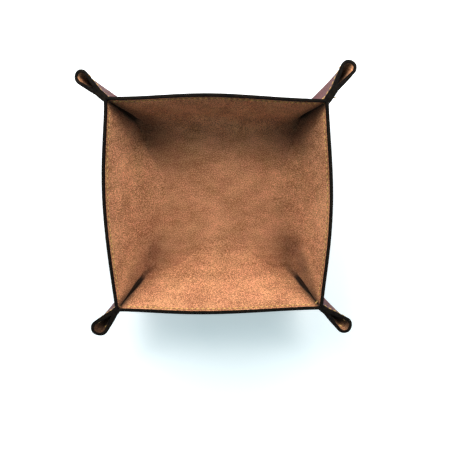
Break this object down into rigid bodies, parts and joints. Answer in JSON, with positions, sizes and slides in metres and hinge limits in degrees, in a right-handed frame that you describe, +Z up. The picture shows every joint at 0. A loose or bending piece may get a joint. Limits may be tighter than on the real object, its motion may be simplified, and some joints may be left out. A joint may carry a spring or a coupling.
{
  "type": "leather valet tray",
  "caption": "Shallow square catch-all tray folded from one sheet of leather lined with suede, its corners pinched and sewn into looped ears, with a stitched and painted edge.",
  "frame": {"origin": "centre of the tray's flat underside, on the surface it stands on", "axes": "+Z up out of the tray's mouth, +Y to the tray's far side as seen in the picture, +X to its right side"},
  "size_m": [0.2052, 0.2097, 0.047],
  "materials": {
    "outer_leather": "smooth dark brown, satin",
    "suede_lining": "tan suede, matt",
    "edge_coat": "black-brown edge paint, satin",
    "thread": "golden tan waxed thread"
  },
  "bodies": {
    "root": {"outer_leather": "outer_leather", "suede_lining": "suede_lining", "edge_coat": "edge_coat", "leather_stitches": "thread", "lining_stitches": "thread", "corner_tack_north_east": "thread", "corner_tack_north_west": "thread", "corner_tack_south_west": "thread", "corner_tack_south_east": "thread"}
  },
  "joints": []
}
